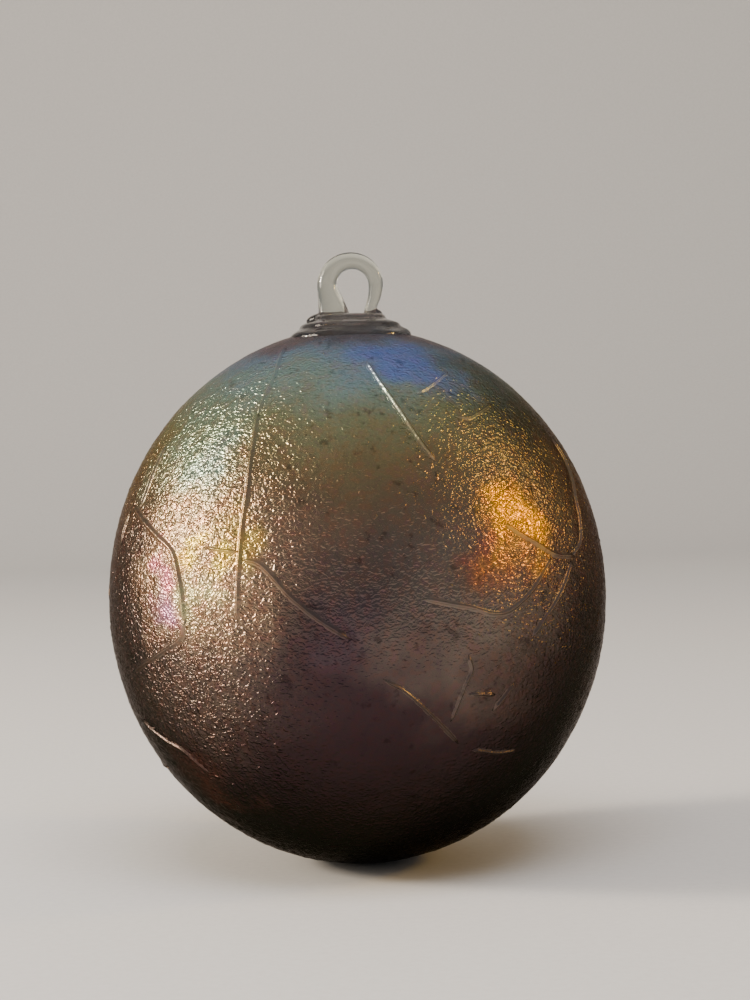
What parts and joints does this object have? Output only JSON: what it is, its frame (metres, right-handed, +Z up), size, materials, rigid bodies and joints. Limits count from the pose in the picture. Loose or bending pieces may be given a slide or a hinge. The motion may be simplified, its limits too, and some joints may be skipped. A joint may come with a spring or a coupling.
{
  "type": "glass ball ornament",
  "caption": "Mouth-blown glass ball ornament with a dark iridescent skin, fine melted-in glass threads and a clear glass hanging loop.",
  "frame": {"origin": "where a hook bears when the ornament hangs: on the ball's axis, at the underside of the hanging loop's crown", "axes": "+Z up along the ball's axis and out of the loop, -Y the front, with the loop lying in the XZ plane and its thick leg towards -X"},
  "size_m": [0.0891, 0.0891, 0.1095],
  "materials": {
    "lustre_glass": "iridescent metallic lustre, finely wrinkled",
    "thread_glass": "iridescent lustre over drawn thread, melted round",
    "clear_glass": "clear, fire polished"
  },
  "bodies": {
    "root": {"ball_shell": "lustre_glass", "hanger_loop": "clear_glass", "hanger_pad": "clear_glass", "thread_back_01": "thread_glass", "thread_back_02": "thread_glass", "thread_back_03": "thread_glass", "thread_back_04": "thread_glass", "thread_back_05": "thread_glass", "thread_back_06": "thread_glass", "thread_back_07": "thread_glass", "thread_back_08": "thread_glass", "thread_back_09": "thread_glass", "thread_back_10": "thread_glass", "thread_back_11": "thread_glass", "thread_back_12": "thread_glass", "thread_back_13": "thread_glass", "thread_back_14": "thread_glass", "thread_back_15": "thread_glass", "thread_back_16": "thread_glass", "thread_back_17": "thread_glass", "thread_front_01": "thread_glass", "thread_front_02": "thread_glass", "thread_front_03": "thread_glass", "thread_front_04": "thread_glass", "thread_front_05": "thread_glass", "thread_front_06": "thread_glass", "thread_front_07": "thread_glass", "thread_front_08": "thread_glass", "thread_front_09": "thread_glass", "thread_front_10": "thread_glass", "thread_front_11": "thread_glass", "thread_front_12": "thread_glass", "thread_front_13": "thread_glass", "thread_front_14": "thread_glass", "thread_front_15": "thread_glass", "thread_front_16": "thread_glass", "thread_front_17": "thread_glass", "thread_front_18": "thread_glass", "thread_front_19": "thread_glass", "thread_front_20": "thread_glass", "thread_front_21": "thread_glass"}
  },
  "joints": []
}
